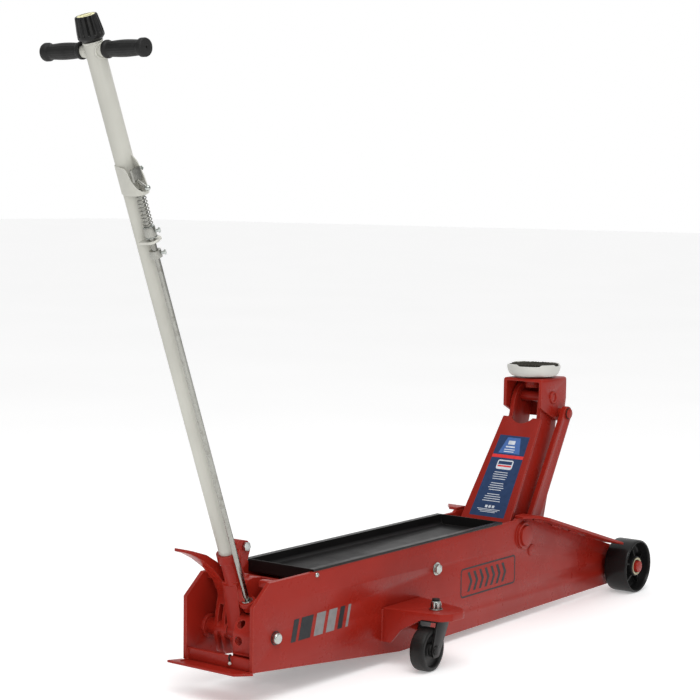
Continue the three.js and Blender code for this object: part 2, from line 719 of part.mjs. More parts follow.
// Foot pedal on its own pivot: an arched blade that ends in a fork over the sleeve.
function footPedal() {
  const [near, far] = PEDAL_Y;
  const profile = outline([
    [-128, 172, 1], [-107, 166, 6], [-68, 153, 20], [-34, 133, 20], [-12, 108, 20], [5, 80, 20],
    [19, 40, 10], [19, -10, 10], [8, -46, 8], [-8, -46, 8], [-18, -10, 8], [-14, 26, 12],
    [-5, 66, 14], [-22, 96, 20], [-50, 124, 20], [-82, 146, 20], [-110, 160, 6], [-128, 166, 1],
  ]);
  const blade = upright(pierced(profile, round(0, 0, 12.6)), near, far);
  const slot = block(-40, 40, near + 8, far - 8, -60, 48);
  const sleeve = upright(pierced(round(0, 0, 17.5), round(0, 0, 12.6)), 20.5, INSIDE - 6 - GAP);
  return join(cut(blade, slot), sleeve);
}

function addHandle(jack) {
  const handle = frameAt(jack, HANDLE_PIVOT[0], 0, HANDLE_PIVOT[1], -HANDLE_LEAN);
  add(handle, 'handle_socket', handleSocket(), redPaint());
  add(handle, 'handle_tube', handleTube(), creamPaint());
  add(handle, 'grip_left', grip(1), rubber());
  add(handle, 'grip_right', grip(-1), rubber());
  add(handle, 'clamp_bolt', join(
    barY(...CLAMP, 5, -20, 15, 16),
    barY(...CLAMP, 9.5, -22, -15 - GAP, 6),
    barY(...CLAMP, 9.5, 10 + GAP, 17, 6),
  ), zinc());
  add(handle, 'release_knob', releaseKnob(), plastic());
  add(handle, 'release_shaft', barZ(TUBE_X, 0, 5, 106, KNOB_Z[0] + 11, 16), steel());
  add(handle, 'trigger_housing', triggerHousing(), creamPaint());
  add(handle, 'rod_guide', rodGuide(), creamPaint());
  add(handle, 'lock_rod', barZ(ROD_X, ROD_Y, ROD_RADIUS, 44.6, 887, 16), steel());
  add(handle, 'rod_collar_upper', rodCollar(801, 819), steel());
  add(handle, 'rod_collar_lower', rodCollar(762, 776), steel());
  add(handle, 'lock_spring', lockSpring(), steel());

  const lever = upright(outline([[-2.5, 926, 3], [20, 926, 3], [18, 900, 4], [-1, 900, 4]]), -35, -31);
  const stalk = barZ(0, 0, 3, -11, 11, 12);
  stalk.rotateX(-0.946);
  stalk.translate(8, -43, 896.5);
  const ball = new THREE.SphereGeometry(5, 12, 8);
  ball.translate(8, -52, 890);
  add(handle, 'trigger_lever', join(lever, stalk, ball), steel());

  const pedal = frameAt(jack, HANDLE_PIVOT[0], 0, HANDLE_PIVOT[1]);
  add(pedal, 'foot_pedal', footPedal(), redPaint());
}

// ---- wheels ---------------------------------------------------------------------------------
// Left front wheel, turned about its own axle, with ribs in the outer recess.
function frontWheel() {
  const [near, far] = WHEEL_Y;
  const bore = AXLE_RADIUS + 0.5;
  const body = turned([
    [bore, near], [26, near], [26, near + 16], [54, near + 16], [57, near], [60, near],
    [WHEEL_RADIUS, near + 4],
    [WHEEL_RADIUS, far - 5], [60.5, far], [57, far], [52, far - 27], [25, far - 27], [22, far - 5],
    [bore, far - 5], [bore, near],
  ], 32);
  const ribs = [0, 1, 2, 3, 4].map((fifth) => {
    const rib = block(20, 54, -3, 3, far - 30, far - 10);
    rib.rotateX(-Math.PI / 2);
    rib.rotateY((fifth * 2 * Math.PI) / 5);
    return rib;
  });
  return join(body, ...ribs);
}

function castorFork() {
  const height = 102.6;
  const corners = [[-30, -21.5, 8], [24, -21.5, 8], [24, 21.5, 8], [-30, 21.5, 8]];
  const plate = level(outline(corners), height - 5, height, 3);
  const leg = outline([
    [22, height - 1, 3], [-28, height - 1, 3], [-CASTOR_TRAIL - 14, CASTOR_RADIUS, 13],
    [-CASTOR_TRAIL - 10, CASTOR_RADIUS - 15, 9], [-CASTOR_TRAIL + 12, CASTOR_RADIUS - 15, 9],
  ]);
  const legs = [-1, 1].map((side) => upright(leg, ...onSide(side, 17.5, 21.5), 4));
  const kingpin = join(
    barZ(0, 0, 8, height - 2, BRACKET_TOP + 22, 16),
    barZ(0, 0, 14, height - 1, BRACKET_TOP - 6 - GAP, 20),
    barZ(0, 0, 13, BRACKET_TOP + GAP, BRACKET_TOP + 2.6, 20),
    barZ(0, 0, 11, BRACKET_TOP + 2.5, BRACKET_TOP + 15, 6),
  );
  const axle = barY(-CASTOR_TRAIL, CASTOR_RADIUS, 6, -24, 24, 16);
  return join(plate, ...legs, kingpin, axle);
}

function castorWheel() {
  const half = 16;
  return turned([
    [6.5, -half], [13, -half], [13, -half + 6], [33, -half + 6], [35, -half], [40, -half],
    [CASTOR_RADIUS, -half + 5], [CASTOR_RADIUS, half - 5], [40, half], [35, half], [33, half - 6],
    [13, half - 6], [13, half], [6.5, half], [6.5, -half],
  ], 28);
}

function addWheels(jack) {
  [-1, 1].forEach((side) => {
    const word = wordFor(side);
    const wheel = frontWheel();
    if (side < 0) wheel.rotateX(Math.PI);
    wheel.translate(AXLE[0], 0, AXLE[1]);
    add(jack, `front_wheel_${word}`, wheel, blackPaint());

    const swivel = new THREE.Group();
    swivel.position.set(KINGPIN[0], side * KINGPIN[1], 0);
    swivel.rotation.z = side < 0 ? CASTOR_TURN : -CASTOR_TURN;
    jack.add(swivel);
    add(swivel, `castor_fork_${word}`, castorFork(), blackPaint());
    const tyre = castorWheel();
    tyre.translate(-CASTOR_TRAIL, 0, CASTOR_RADIUS);
    add(swivel, `castor_wheel_${word}`, tyre, rubber());
  });
}

// ---- the jack -------------------------------------------------------------------------------
const jack = new THREE.Group();
addChassis(jack);
addHydraulics(jack);
addArm(jack);
addHandle(jack);
addWheels(jack);
jack.position.x = -BOX_MIDDLE_X;

export default jack;
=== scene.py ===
"""Finishes the trolley jack: procedural materials, softened edges, welds, labels, wheels and grips.

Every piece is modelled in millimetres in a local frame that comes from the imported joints, and is
then placed in the row frame in metres.
"""
import json
from math import atan, atan2, cos, hypot, pi, radians, sin, sqrt

import bmesh
import bpy
from mathutils import Matrix, Vector, noise


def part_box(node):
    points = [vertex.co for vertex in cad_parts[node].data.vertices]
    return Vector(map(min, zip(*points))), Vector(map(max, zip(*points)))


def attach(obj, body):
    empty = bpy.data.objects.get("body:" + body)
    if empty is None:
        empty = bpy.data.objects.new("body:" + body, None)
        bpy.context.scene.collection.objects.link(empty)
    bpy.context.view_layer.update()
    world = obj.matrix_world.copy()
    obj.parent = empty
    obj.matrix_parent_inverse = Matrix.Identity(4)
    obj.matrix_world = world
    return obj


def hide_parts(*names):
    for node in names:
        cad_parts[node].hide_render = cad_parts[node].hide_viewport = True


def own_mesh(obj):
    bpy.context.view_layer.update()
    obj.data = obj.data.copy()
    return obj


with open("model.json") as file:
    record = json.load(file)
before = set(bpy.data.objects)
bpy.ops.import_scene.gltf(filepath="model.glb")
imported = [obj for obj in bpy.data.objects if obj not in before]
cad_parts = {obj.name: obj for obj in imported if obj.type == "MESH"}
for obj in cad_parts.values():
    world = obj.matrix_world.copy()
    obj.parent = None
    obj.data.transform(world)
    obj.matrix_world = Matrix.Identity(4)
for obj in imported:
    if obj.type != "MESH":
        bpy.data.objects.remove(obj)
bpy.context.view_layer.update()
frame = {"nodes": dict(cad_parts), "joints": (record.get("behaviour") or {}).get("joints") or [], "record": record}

MM = 0.001
JOINTS = {joint["name"]: joint for joint in frame["joints"]}
NODES = frame["nodes"]


# ---- local frames ---------------------------------------------------------------------------
def pivot(name):
    return Vector(JOINTS[name]["pos_m"])


def local_frame(origin, x_axis=(1, 0, 0), z_axis=(0, 0, 1)):
    """Millimetres in the local frame to metres in the row frame."""
    x = Vector(x_axis).normalized()
    z = Vector(z_axis).normalized()
    turn = Matrix((x, z.cross(x), z)).transposed().to_4x4()
    return Matrix.Translation(origin) @ turn @ Matrix.Scale(MM, 4)


ROW = local_frame((0, 0, 0))
HANDLE = local_frame(pivot("handle_swing"), JOINTS["trigger_swing"]["axis"], JOINTS["release_turn"]["axis"])
ARM_LINE = pivot("head_level") - pivot("arm_lift")
ARM = local_frame(pivot("arm_lift"), ARM_LINE, ARM_LINE.cross(Vector((0, 1, 0))))
HEAD = local_frame(pivot("head_level"))
SADDLE = local_frame(Vector((pivot("saddle_turn").x, 0, pivot("head_level").z)))
TUBE_X = ((pivot("release_turn") - pivot("handle_swing")).dot(Vector(JOINTS["trigger_swing"]["axis"]))) / MM


def row_mm(node):
    low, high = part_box(node)
    return [value / MM for value in low], [value / MM for value in high]


# ---- mesh tools (millimetres) -----------------------------------------------------------------
def lathe(profile, segments=64, shape=None):
    """Profile (radius, height) turned about Z; shape(angle, radius, height) can change the radius."""
    bm = bmesh.new()
    rings = []
    for radius, height in profile:
        if radius < 1e-6:
            rings.append([bm.verts.new((0, 0, height))])
            continue
        ring = []
        for index in range(segments):
            angle = 2 * pi * index / segments
            reach = shape(angle, radius, height) if shape else radius
            ring.append(bm.verts.new((reach * cos(angle), reach * sin(angle), height)))
        rings.append(ring)
    if profile[0] == profile[-1] and profile[0][0] > 0:
        for vert in rings.pop():
            bm.verts.remove(vert)
        rings.append(rings[0])
    for low, high in zip(rings, rings[1:]):
        for i in range(segments):
            j = (i + 1) % segments
            around = [low[i % len(low)], low[j % len(low)], high[j % len(high)], high[i % len(high)]]
            corners = list(dict.fromkeys(around))
            if len(corners) > 2:
                bm.faces.new(corners)
    bmesh.ops.recalc_face_normals(bm, faces=bm.faces)
    return bm


def prism(corners, low, high):
    """Outline in X and Y with a thickness along Z."""
    bm = bmesh.new()
    under = [bm.verts.new((x, y, low)) for x, y in corners]
    over = [bm.verts.new((x, y, high)) for x, y in corners]
    bm.faces.new(under[::-1])
    bm.faces.new(over)
    for i in range(len(corners)):
        j = (i + 1) % len(corners)
        bm.faces.new((under[i], under[j], over[j], over[i]))
    bmesh.ops.recalc_face_normals(bm, faces=bm.faces)
    return bm


def circle_points(x, z, radius, y, count):
    """Points round a circle that faces along Y."""
    angles = (2 * pi * k / count for k in range(count))
    return [(x + radius * cos(a), y, z + radius * sin(a)) for a in angles]


def ngon(radius, sides, turn=0.0, centre=(0, 0)):
    return [(centre[0] + radius * cos(turn + 2 * pi * k / sides),
             centre[1] + radius * sin(turn + 2 * pi * k / sides))
            for k in range(sides)]


def rounded_box(half_x, half_y, radius, centre=(0, 0), steps=5):
    points = []
    for quarter, (sx, sy) in enumerate([(1, 1), (-1, 1), (-1, -1), (1, -1)]):
        for step in range(steps + 1):
            angle = (quarter + step / steps) * pi / 2
            points.append((centre[0] + sx * (half_x - radius) + radius * cos(angle),
                           centre[1] + sy * (half_y - radius) + radius * sin(angle)))
    return points


def tube(points, radius, sides=10, closed=False):
    """Round bar along a line; radius is a number or a function of the point's index."""
    bm = bmesh.new()
    count = len(points)
    points = [Vector(p) for p in points]
    rings = []
    side = None
    for index, point in enumerate(points):
        before = points[index - 1] if index or closed else point
        after = points[(index + 1) % count] if index < count - 1 or closed else point
        along = (after - before).normalized()
        if side is None:
            side = along.orthogonal().normalized()
        side = (side - along * side.dot(along)).normalized()
        other = along.cross(side)
        reach = radius(index) if callable(radius) else radius
        rings.append([bm.verts.new(point + reach * (cos(a) * side + sin(a) * other))
                      for a in (2 * pi * k / sides for k in range(sides))])
    pairs = list(zip(rings, rings[1:]))
    if closed:
        ahead = rings[0]
        shift = min(range(sides), key=lambda k: (ahead[k].co - rings[-1][0].co).length)
        pairs.append((rings[-1], ahead[shift:] + ahead[:shift]))
    else:
        bm.faces.new(rings[0][::-1])
        bm.faces.new(rings[-1])
    for low, high in pairs:
        for i in range(sides):
            j = (i + 1) % sides
            bm.faces.new((low[i], low[j], high[j], high[i]))
    bmesh.ops.recalc_face_normals(bm, faces=bm.faces)
    return bm


def weld_bead(points, radius=2.4, closed=False, step=1.1):
    """Rippled bead laid along a line of points."""
    corners = [Vector(p) for p in points]
    if closed:
        corners.append(corners[0])
    line = []
    for start, end in zip(corners, corners[1:]):
        pieces = max(1, round((end - start).length / step))
        line += [start.lerp(end, k / pieces) for k in range(pieces)]
    if not closed:
        line.append(corners[-1])

    def reach(index):
        ripple = 0.5 + 0.5 * cos(index * 2 * pi / 3.1)
        return radius * (0.78 + 0.22 * ripple + 0.22 * noise.noise(line[index] * 0.23))

    wander = [p + 0.35 * Vector(noise.noise_vector(p * 0.11)) for p in line]
    return tube(wander, reach, 8, closed)


def merged(*meshes):
    """Several meshes in one; the sources are freed."""
    whole = bmesh.new()
    for bm in meshes:
        data = bpy.data.meshes.new("scratch")
        bm.to_mesh(data)
        bm.free()
        whole.from_mesh(data)
        bpy.data.meshes.remove(data)
    return whole


def placed(bm, matrix):
    bmesh.ops.transform(bm, matrix=matrix, verts=bm.verts)
    if matrix.determinant() < 0:
        bmesh.ops.reverse_faces(bm, faces=bm.faces)
    return bm


FACE_Y = Matrix.Rotation(-pi / 2, 4, "X")  # local Z becomes +Y
FACE_LESS_Y = Matrix.Rotation(pi / 2, 4, "X")  # local Z becomes -Y


def piece(name, bm, place, material, body, bevel=0.0, stands_for=(), sharp=35):
    """Makes an object that rides a body, gives it its material, and hides the nodes it stands for."""
    placed(bm, place)
    data = bpy.data.meshes.new(name)
    bm.to_mesh(data)
    bm.free()
    data.polygons.foreach_set("use_smooth", [True] * len(data.polygons))
    data.set_sharp_from_angle(angle=radians(sharp))
    made = bpy.data.objects.new(name, data)
    bpy.context.scene.collection.objects.link(made)
    data.materials.append(material)
    if bevel:
        soften(made, bevel)
    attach(made, body)
    if stands_for:
        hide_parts(*stands_for)
    return made


def soften(thing, width, segments=3):
    bevel = thing.modifiers.new("edges", "BEVEL")
    bevel.width = width * MM
    bevel.segments = segments
    bevel.limit_method = "ANGLE"
    bevel.angle_limit = radians(34)
    bevel.harden_normals = True
    bevel.use_clamp_overlap = True


# ---- materials ------------------------------------------------------------------------------
class Shader:
    """A small helper for node trees."""

    def __init__(self, name):
        self.material = bpy.data.materials.new(name)
        self.material.use_nodes = True
        self.tree = self.material.node_tree
        self.surface = self.tree.nodes["Principled BSDF"]
        self.place = self.node("ShaderNodeTexCoord").outputs["Object"]

    def node(self, kind, **settings):
        made = self.tree.nodes.new(kind)
        for key, value in settings.items():
            setattr(made, key, value)
        return made

    def link(self, source, target):
        self.tree.links.new(source, target)

    def set(self, **values):
        for key, value in values.items():
            self.surface.inputs[key.replace("_", " ")].default_value = value

    def noise(self, scale, detail=4.0, roughness=0.55, stretch=None):
        made = self.node("ShaderNodeTexNoise")
        made.inputs["Scale"].default_value = scale
        made.inputs["Detail"].default_value = detail
        made.inputs["Roughness"].default_value = roughness
        source = self.place
        if stretch:
            mapping = self.node("ShaderNodeMapping")
            mapping.inputs["Scale"].default_value = stretch
            self.link(source, mapping.inputs["Vector"])
            source = mapping.outputs["Vector"]
        self.link(source, made.inputs["Vector"])
        return made.outputs["Fac"]

    def remap(self, value, low, high, to_low, to_high):
        made = self.node("ShaderNodeMapRange")
        for key, number in zip(("From Min", "From Max", "To Min", "To Max"), (low, high, to_low, to_high)):
            made.inputs[key].default_value = number
        self.link(value, made.inputs["Value"])
        return made.outputs["Result"]

    def mix(self, factor, a, b):
        made = self.node("ShaderNodeMix", data_type="RGBA")
        self.link(factor, made.inputs["Factor"])
        for value, socket in ((a, made.inputs["A"]), (b, made.inputs["B"])):
            if isinstance(value, bpy.types.NodeSocket):
                self.link(value, socket)
            else:
                socket.default_value = (*value, 1)
        return made.outputs["Result"]

    def maths(self, operation, a, b):
        made = self.node("ShaderNodeMath", operation=operation)
        for value, socket in zip((a, b), made.inputs):
            if isinstance(value, bpy.types.NodeSocket):
                self.link(value, socket)
            else:
                socket.default_value = value
        return made.outputs["Value"]

    def upwards(self):
        """1 on faces that look up."""
        split = self.node("ShaderNodeSeparateXYZ")
        self.link(self.node("ShaderNodeNewGeometry").outputs["Normal"], split.inputs["Vector"])
        return self.remap(split.outputs["Z"], 0.6, 1.0, 0.0, 1.0)

    def edges(self, radius=0.0016):
        """1 along sharp edges, 0 on flat faces."""
        rounded = self.node("ShaderNodeBevel", samples=4)
        rounded.inputs["Radius"].default_value = radius
        flat = self.node("ShaderNodeNewGeometry").outputs["Normal"]
        dot = self.node("ShaderNodeVectorMath", operation="DOT_PRODUCT")
        self.link(rounded.outputs["Normal"], dot.inputs[0])
        self.link(flat, dot.inputs[1])
        return self.remap(dot.outputs["Value"], 0.99, 0.86, 0.0, 1.0)

    def bump(self, height, distance, strength=1.0):
        made = self.node("ShaderNodeBump")
        made.inputs["Strength"].default_value = strength
        made.inputs["Distance"].default_value = distance
        self.link(height, made.inputs["Height"])
        self.link(made.outputs["Normal"], self.surface.inputs["Normal"])


def paint(name, base, rough=0.3, light=1.12, paler_edges=None, coat=0.05, peel=0.00004, grime=(0.05, 0.035, 0.03)):
    """Enamel with slow colour drift, dust on upward faces, paler edges (chipped wear plus a painted edge
    highlight) and orange peel.
    """
    shader = Shader(name)
    drift = shader.remap(shader.noise(5.5, 3), 0.3, 0.7, 0, 1)
    darker = tuple(value * 0.9 for value in base)
    paler = tuple(min(1, value * light) for value in base)
    colour = shader.mix(drift, darker, paler)
    smears = shader.remap(shader.noise(34, 6, 0.7), 0.6, 0.85, 0, 0.12)
    colour = shader.mix(smears, colour, grime)
    # paler edges: wear chips plus a painted highlight along every sharp edge
    worn_and_highlit_edges = shader.maths("MULTIPLY", shader.edges(),
                         shader.remap(shader.noise(160, 5, 0.7), 0.36, 0.62, 0.15, 1))
    colour = shader.mix(worn_and_highlit_edges, colour, paler_edges or tuple(min(1, value * 1.5 + 0.05) for value in base))
    shader.link(colour, shader.surface.inputs["Base Color"])
    dust = shader.maths("MULTIPLY", shader.upwards(), 0.10)
    uneven = shader.remap(shader.noise(18, 5, 0.65), 0.25, 0.8, rough - 0.07, rough + 0.14)
    shader.link(shader.maths("ADD", uneven, dust), shader.surface.inputs["Roughness"])
    shader.set(Coat_Weight=coat, Coat_Roughness=0.08, Specular_IOR_Level=0.15)
    shader.bump(shader.noise(520, 3), peel)
    return shader.material


def metal(name, base, rough=0.3, stretch=(1, 1, 1), stain=(0.12, 0.10, 0.08)):
    """Bright metal with drawing marks and light staining."""
    shader = Shader(name)
    grain = shader.noise(900, 4, 0.6, stretch)
    stains = shader.remap(shader.noise(70, 6, 0.7), 0.5, 0.8, 0, 0.6)
    drift = shader.mix(shader.remap(grain, 0.3, 0.7, 0, 1), tuple(v * 0.82 for v in base),
                       tuple(min(1, v * 1.12) for v in base))
    shader.link(shader.mix(stains, drift, stain), shader.surface.inputs["Base Color"])
    shader.link(shader.remap(shader.noise(110, 5), 0.2, 0.8, rough - 0.08, rough + 0.2),
                shader.surface.inputs["Roughness"])
    shader.set(Metallic=1.0)
    shader.bump(grain, 0.00002)
    return shader.material


def rubber(name, base, rough=0.72, dust=(0.10, 0.095, 0.08), grain=700, depth=0.00008):
    shader = Shader(name)
    dusty = shader.remap(shader.noise(60, 6, 0.7), 0.45, 0.8, 0, 0.5)
    paler_edges = shader.maths("MULTIPLY", shader.edges(0.0012), 0.5)
    colour = shader.mix(shader.maths("MAXIMUM", dusty, paler_edges), base, dust)
    shader.link(colour, shader.surface.inputs["Base Color"])
    shader.link(shader.remap(shader.noise(45, 5), 0.2, 0.8, rough - 0.12, rough + 0.12),
                shader.surface.inputs["Roughness"])
    shader.set(Specular_IOR_Level=0.28)
    shader.bump(shader.noise(grain, 3), depth)
    return shader.material


def printed(name, base):
    """Ink or vinyl: faint mottling, scuffs and a soft sheen."""
    shader = Shader(name)
    mottle = shader.remap(shader.noise(90, 5), 0.3, 0.7, 0, 1)
    colour = shader.mix(mottle, tuple(v * 0.88 for v in base), tuple(min(1, v * 1.1 + 0.004) for v in base))
    shader.link(colour, shader.surface.inputs["Base Color"])
    shader.link(shader.remap(shader.noise(40, 5), 0.2, 0.8, 0.3, 0.48), shader.surface.inputs["Roughness"])
    shader.set(Specular_IOR_Level=0.25)
    shader.bump(shader.noise(400, 2), 0.00001)
    return shader.material


# the pale pink edge colour of the red paint is wear plus a painted edge highlight
RED = paint("red_paint", (0.29, 0.0155, 0.0085), 0.27, paler_edges=(0.50, 0.12, 0.085))
BLACK = paint("black_paint", (0.007, 0.0065, 0.0065), 0.34, 1.5, (0.05, 0.046, 0.042), 0.1,
              grime=(0.016, 0.014, 0.013))
CREAM = paint("cream_paint", (0.56, 0.555, 0.50), 0.34, 1.06, (0.68, 0.68, 0.64), 0.1,
              grime=(0.40, 0.38, 0.32))
GREY = paint("grey_paint", (0.62, 0.62, 0.58), 0.4, 1.08, (0.75, 0.75, 0.72), 0.1, 0.00012,
             grime=(0.36, 0.34, 0.30))
WHEEL = paint("wheel_black", (0.008, 0.008, 0.008), 0.3, 1.5, (0.06, 0.056, 0.05), 0.15, 0.00006,
              grime=(0.02, 0.017, 0.015))
TYRE = rubber("castor_tyre", (0.007, 0.0068, 0.0065), 0.42, (0.03, 0.027, 0.024))
PAD = rubber("pad_rubber", (0.022, 0.020, 0.015), 0.8, (0.15, 0.14, 0.11))
GRIP = rubber("grip_rubber", (0.0095, 0.0095, 0.0095), 0.55, (0.026, 0.026, 0.025))
KNOB = rubber("knob_plastic", (0.007, 0.007, 0.007), 0.36, (0.03, 0.028, 0.026), 900, 0.00003)
STEEL = metal("bright_steel", (0.36, 0.36, 0.33), 0.2, (1, 1, 0.08))
ZINC = metal("zinc_plate", (0.50, 0.53, 0.51), 0.22, stain=(0.30, 0.28, 0.2))
SLOT_MATERIALS = {
    "red_paint": RED, "black_paint": BLACK, "cream_paint": CREAM, "grey_paint": GREY, "wheel_black": WHEEL,
    "castor_tyre": TYRE, "pad_rubber": PAD, "grip_rubber": GRIP, "knob_plastic": KNOB, "bright_steel": STEEL,
    "zinc_plate": ZINC,
}
# dark ink for printed marks, also used for the painted shadow ring round the pivot bolts
INK_AND_SHADOW = printed("dark_print_and_shadow", (0.014, 0.017, 0.02))
GREY_INK = printed("grey_print", (0.22, 0.21, 0.21))
LABEL_BLUE = printed("label_blue", (0.014, 0.040, 0.115))
LABEL_SKY = printed("label_sky", (0.06, 0.14, 0.38))
LABEL_RED = printed("label_red", (0.70, 0.035, 0.035))
LABEL_WHITE = printed("label_white", (0.62, 0.66, 0.72))
CAP_CREAM = printed("cap_cream", (0.80, 0.76, 0.42))
BRASS = metal("bearing_brass", (0.52, 0.47, 0.33), 0.35)


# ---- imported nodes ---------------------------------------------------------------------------
EDGE_MM = {"tool_tray": 0.8, "handle_socket": 1.6, "foot_pedal": 2.2, "lock_spring": 0,
           "trigger_housing": 0.5,
           "rod_guide": 0.7, "handle_tube": 0.5, "rod_collar_upper": 0.5, "rod_collar_lower": 0.5,
           "rear_lip": 1.0,
           "saddle_bracket": 1.4, "trigger_lever": 0.6, "lock_sector": 0.9}


def finish_nodes():
    """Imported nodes: a material for each, flat faces joined, and edges rounded."""
    slots = {part["node"]: part["material_slot"] for part in frame["record"]["subparts"]}
    for name, node in NODES.items():
        node.data.materials.clear()
        node.data.materials.append(SLOT_MATERIALS[slots[name]])
        node.data.polygons.foreach_set("use_smooth", [True] * len(node.data.polygons))
        weld = node.modifiers.new("joined", "WELD")
        weld.merge_threshold = 0.01 * MM
        flat = node.modifiers.new("flat", "DECIMATE")
        flat.decimate_type = "DISSOLVE"
        flat.angle_limit = radians(0.6)
        width = EDGE_MM.get(name, 1.0)
        if width:
            soften(node, width)


# ---- handle ---------------------------------------------------------------------------------
TEE_Z = 1129
TEE_RADIUS = 11
TUBE_RADIUS = 17
ROD_X = 7
ROD_Y = -32
KNOB_Z = (1147, 1191)
KNOB_FLUTES = 14
TRIGGER_PIN = (-33, 920)  # in Y and Z
SPRING_Z = (820.5, 877.5)
SPRING_TURNS = 9


def add_grips():
    for side, word in ((1, "left"), (-1, "right")):
        profile = [(11.2, 26.6), (13.4, 26.4), (14.8, 27), (15.5, 28.6), (15.5, 32), (14.8, 33.8),
                   (13.1, 35.4)]
        profile += [(12.9 + 1.5 * sin(pi * k / 20), 37 + 3.3 * k) for k in range(21)]
        profile += [(13.4, 105), (15.1, 106.8), (15.9, 108.6), (16.0, 115.4), (15.2, 117.6), (14.2, 118.3),
                    (3.4, 118.4),
                    (2.2, 118.1), (1.9, 116.4), (0, 116.4)]

        def ribbed(angle, radius, height):
            on_body = 38 < height < 104
            return radius + (0.14 * cos(20 * angle) if on_body else 0)

        bm = lathe(profile, 120, ribbed)
        turn = FACE_Y if side > 0 else FACE_LESS_Y
        piece(f"grip_{word}_cover", placed(bm, Matrix.Translation((TUBE_X, 0, TEE_Z + 2)) @ turn), HANDLE,
              GRIP, "handle",
              stands_for=[f"grip_{word}"], sharp=50)


def add_knob():
    low, high = KNOB_Z

    def fluted(angle, radius, height):
        share = min(1, max(0, (height - low - 11) / 1.6)) * (1 if height < high - 0.6 else 0.5)
        wave = 0.5 + 0.5 * cos(KNOB_FLUTES * angle)
        return radius - (2.9 * share * (1 - wave) ** 3.2 if radius > 16.5 else 0)

    profile = [(16.2, low), (17.6, low + 0.5), (21.8, low + 5), (22.9, low + 6.2), (23.2, low + 7.6),
               (23.2, low + 10.8)]
    profile += [(23.1, low + 11.6), (22.9, low + 13), (22.9, low + 16)]
    profile += [(22.9 - 3.3 * k / 10, low + 16 + 2.6 * k) for k in range(1, 11)]
    profile += [(19.2, high - 1.2), (18.4, high - 0.3), (16.6, high), (16.2, high - 0.2), (15.9, high - 1),
                (0, high - 1)]
    bm = lathe([(0, low)] + profile, 196, fluted)
    piece("knob_cover", placed(bm, Matrix.Translation((TUBE_X, 0, 0))), HANDLE, KNOB, "knob",
          stands_for=["release_knob"], sharp=40)
    disc = lathe([(0, high - 1), (15.6, high - 1), (15.6, high - 0.35), (14.9, high - 0.1),
                  (0, high - 0.05)], 64)
    arrows = []
    for turn in (0, pi):
        arc = [(9.8 * cos(turn + a), 9.8 * sin(turn + a), high - 0.05)
               for a in (0.25 + 0.12 * k for k in range(18))]
        arrows.append(tube(arc, 0.5, 6))
    shift = Matrix.Translation((TUBE_X, 0, 0))
    piece("knob_disc", placed(disc, shift), HANDLE, CAP_CREAM, "knob")
    piece("knob_disc_marks", placed(merged(*arrows), shift), HANDLE, INK_AND_SHADOW, "knob")


def add_handle_welds():
    """Fillets of the cross bar, the lip under the knob, and the seams of the housing and rod guide."""
    for side, word in ((1, "left"), (-1, "right")):
        reach = TEE_RADIUS + 1.2
        ring = [(TUBE_X + reach * cos(a), side * sqrt(TUBE_RADIUS ** 2 - (reach * cos(a)) ** 2),
                 TEE_Z + reach * sin(a))
                for a in (2 * pi * k / 48 for k in range(48))]
        piece(f"cross_bar_weld_{word}", weld_bead(ring, 2.5, True, 1.4), HANDLE, CREAM, "handle",
              sharp=80)
    lip = lathe([(14.2, 1143.5), (17.2, 1143.5), (17.9, 1144.6), (17.6, 1146.2), (14.2, 1146.4),
                 (14.2, 1143.5)], 64)
    piece("tube_lip", placed(lip, Matrix.Translation((TUBE_X, 0, 0))), HANDLE, CREAM, "handle")
    seams = []
    for z_low, z_high in ((879, 893), (906, 922)):
        seams.append(weld_bead([(26.5, -17.2, z_low), (26.5, -17.2, z_high)], 1.5))
    arc = [(TUBE_X + 17.6 * cos(a), 17.6 * sin(a), 795) for a in (radians(218 + 4 * k) for k in range(27))]
    seams.append(weld_bead(arc, 1.6))
    piece("handle_weld_seams", merged(*seams), HANDLE, CREAM, "handle", sharp=80)


def add_return_spring():
    low, high = SPRING_Z
    coil = []
    count = SPRING_TURNS * 20
    for k in range(count + 1):
        t = k / count
        angle = 2 * pi * SPRING_TURNS * t
        flat_end = min(1, max(0, (t - 0.03) / 0.94))
        coil.append((ROD_X + 8.3 * cos(angle), ROD_Y + 8.3 * sin(angle),
                     low + 1 + (high - low - 2) * flat_end))
    spring = piece("return_spring", tube(coil, 1.0, 8), HANDLE, STEEL, "lock",
                   stands_for=["lock_spring"], sharp=80)
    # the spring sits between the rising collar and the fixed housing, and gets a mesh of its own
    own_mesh(spring)


def add_rod_hardware():
    """Washers, a bush and set screws on the lock rod."""
    for name, z, reach in (("spring_washer", 819.3, 10.2), ("collar_washer", 800.0, 11.5)):
        washer = lathe([(5.4, z), (reach - 0.4, z), (reach, z + 0.3), (reach, z + 0.9),
                        (reach - 0.4, z + 1.1), (5.4, z + 1.1), (5.4, z)], 48)
        piece(name, placed(washer, Matrix.Translation((ROD_X, ROD_Y, 0))), HANDLE, ZINC, "lock")
    bush = lathe([(5.6, 64), (8.6, 64), (8.6, 68.2), (10.4, 68.4), (10.7, 69.2), (10.2, 70.2), (6.6, 70.4),
                  (5.6, 69.6), (5.6, 64)], 48)
    piece("rod_bush", placed(bush, Matrix.Translation((ROD_X, ROD_Y, 0))), HANDLE, ZINC, "handle")
    for name, z in (("upper_set_screw", 810), ("lower_set_screw", 769)):
        sideways = Matrix.Rotation(-1.0, 4, "Z") @ Matrix.Rotation(pi / 2, 4, "Y")
        turn = Matrix.Translation((ROD_X, ROD_Y, z)) @ sideways
        screw = merged(lathe([(0, 9), (2.9, 9), (2.9, 15), (0, 15)], 24), prism(ngon(5, 6), 15, 18.2))
        piece(name, placed(screw, turn), HANDLE, ZINC, "lock", 0.4)


